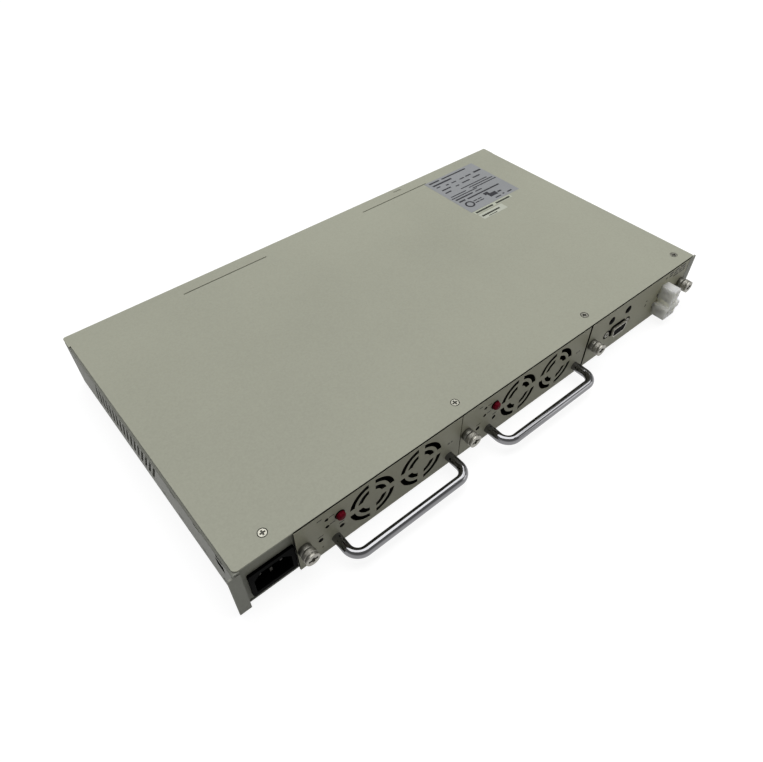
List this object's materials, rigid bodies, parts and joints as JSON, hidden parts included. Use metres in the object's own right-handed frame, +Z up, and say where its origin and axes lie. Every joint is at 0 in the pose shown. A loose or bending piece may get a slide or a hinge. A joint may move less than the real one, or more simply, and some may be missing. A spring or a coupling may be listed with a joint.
{
  "type": "rack power shelf with plug-in inverter modules",
  "caption": "Low flat power shelf in putty-grey sheet metal: fan-cooled plug-in modules with chrome pull handles, a mains inlet and an interface panel along the front.",
  "frame": {"origin": "middle of the flat underside, half way across the width and half way from the front plane to the rear face", "axes": "+X to the right along the front, +Y from the front to the rear, +Z up"},
  "size_m": [0.4318, 0.255, 0.0441],
  "materials": {
    "putty_paint": "fine textured putty-grey paint",
    "face_paint": "fine textured putty-grey paint",
    "plated_steel": "plated sheet steel",
    "plated_screw": "plated steel",
    "chrome_rod": "polished chrome plate",
    "nickel": "nickel plate",
    "black_plastic": "moulded black plastic",
    "dark_plastic": "moulded dark plastic",
    "fan_plastic": "moulded black plastic",
    "contact_metal": "plated brass",
    "wire_cover": "insulated wire",
    "board_laminate": "green coated laminate",
    "red_lens": "clear red moulding",
    "dark_lens": "dark moulding",
    "winding": "taped winding on a ferrite core",
    "capacitor_sleeve": "dark shrink sleeve",
    "sink_aluminium": "bare extruded aluminium",
    "nylon": "natural nylon"
  },
  "bodies": {
    "shelf": {"backplane_board": "board_laminate", "backplane_connectors": "dark_plastic", "bay_post_end": "plated_steel", "bay_post_left": "plated_steel", "bay_post_middle": "plated_steel", "bay_post_right": "plated_steel", "captive_nuts": "plated_steel", "chassis_tray": "putty_paint", "cover_screws": "plated_screw", "inlet_housing": "black_plastic", "inlet_panel": "putty_paint", "inlet_pins": "contact_metal", "mains_wires": "wire_cover", "top_cover": "putty_paint"},
    "module_1": {"module_1_capacitors": "capacitor_sleeve", "module_1_circuit_board": "board_laminate", "module_1_faceplate": "face_paint", "module_1_fan_frame_left": "fan_plastic", "module_1_fan_frame_right": "fan_plastic", "module_1_ferrule": "nickel", "module_1_handle": "chrome_rod", "module_1_handle_screws": "plated_screw", "module_1_heat_sink": "sink_aluminium", "module_1_indicator_lamps": "dark_lens", "module_1_rear_plug": "dark_plastic", "module_1_status_lens": "red_lens", "module_1_transformer": "winding", "module_1_tray": "plated_steel"},
    "module_1_screw": {"module_1_thumbscrew": "nickel"},
    "module_1_left_fan": {"module_1_fan_rotor_left": "fan_plastic"},
    "module_1_right_fan": {"module_1_fan_rotor_right": "fan_plastic"},
    "module_2": {"module_2_capacitors": "capacitor_sleeve", "module_2_circuit_board": "board_laminate", "module_2_faceplate": "face_paint", "module_2_fan_frame_left": "fan_plastic", "module_2_fan_frame_right": "fan_plastic", "module_2_ferrule": "nickel", "module_2_handle": "chrome_rod", "module_2_handle_screws": "plated_screw", "module_2_heat_sink": "sink_aluminium", "module_2_indicator_lamps": "dark_lens", "module_2_rear_plug": "dark_plastic", "module_2_status_lens": "red_lens", "module_2_transformer": "winding", "module_2_tray": "plated_steel"},
    "module_2_screw": {"module_2_thumbscrew": "nickel"},
    "module_2_left_fan": {"module_2_fan_rotor_left": "fan_plastic"},
    "module_2_right_fan": {"module_2_fan_rotor_right": "fan_plastic"},
    "interface": {"interface_circuit_board": "board_laminate", "interface_data_insert": "black_plastic", "interface_data_shell": "nickel", "interface_faceplate": "face_paint", "interface_ferrules": "nickel", "interface_jack_posts": "nickel", "interface_output_contacts": "contact_metal", "interface_output_housing": "nylon", "interface_rear_plug": "dark_plastic", "interface_tray": "plated_steel"},
    "interface_left_screw": {"interface_thumbscrew_left": "nickel"},
    "interface_right_screw": {"interface_thumbscrew_right": "nickel"}
  },
  "joints": [
    {"name": "module_1_pull", "type": "slide", "parent": "shelf", "child": "module_1", "axis": [0, -1, 0], "range_m": [0, 0.18]},
    {"name": "module_1_screw_turn", "type": "hinge", "parent": "module_1", "child": "module_1_screw", "pos_m": [-0.1699, -0.11655, 0.02205], "axis": [0, -1, 0], "continuous": true},
    {"name": "module_1_left_fan_turn", "type": "hinge", "parent": "module_1", "child": "module_1_left_fan", "pos_m": [-0.11965, -0.11655, 0.02305], "axis": [0, -1, 0], "continuous": true},
    {"name": "module_1_right_fan_turn", "type": "hinge", "parent": "module_1", "child": "module_1_right_fan", "pos_m": [-0.0805, -0.11655, 0.02305], "axis": [0, -1, 0], "continuous": true},
    {"name": "module_2_pull", "type": "slide", "parent": "shelf", "child": "module_2", "axis": [0, -1, 0], "range_m": [0, 0.18]},
    {"name": "module_2_screw_turn", "type": "hinge", "parent": "module_2", "child": "module_2_screw", "pos_m": [-0.0411, -0.11655, 0.02205], "axis": [0, -1, 0], "continuous": true},
    {"name": "module_2_left_fan_turn", "type": "hinge", "parent": "module_2", "child": "module_2_left_fan", "pos_m": [0.00915, -0.11655, 0.02305], "axis": [0, -1, 0], "continuous": true},
    {"name": "module_2_right_fan_turn", "type": "hinge", "parent": "module_2", "child": "module_2_right_fan", "pos_m": [0.0483, -0.11655, 0.02305], "axis": [0, -1, 0], "continuous": true},
    {"name": "interface_pull", "type": "slide", "parent": "shelf", "child": "interface", "axis": [0, -1, 0], "range_m": [0, 0.18]},
    {"name": "interface_left_screw_turn", "type": "hinge", "parent": "interface", "child": "interface_left_screw", "pos_m": [0.0895, -0.11655, 0.02205], "axis": [0, -1, 0], "continuous": true},
    {"name": "interface_right_screw_turn", "type": "hinge", "parent": "interface", "child": "interface_right_screw", "pos_m": [0.2031, -0.11655, 0.02205], "axis": [0, -1, 0], "continuous": true}
  ]
}
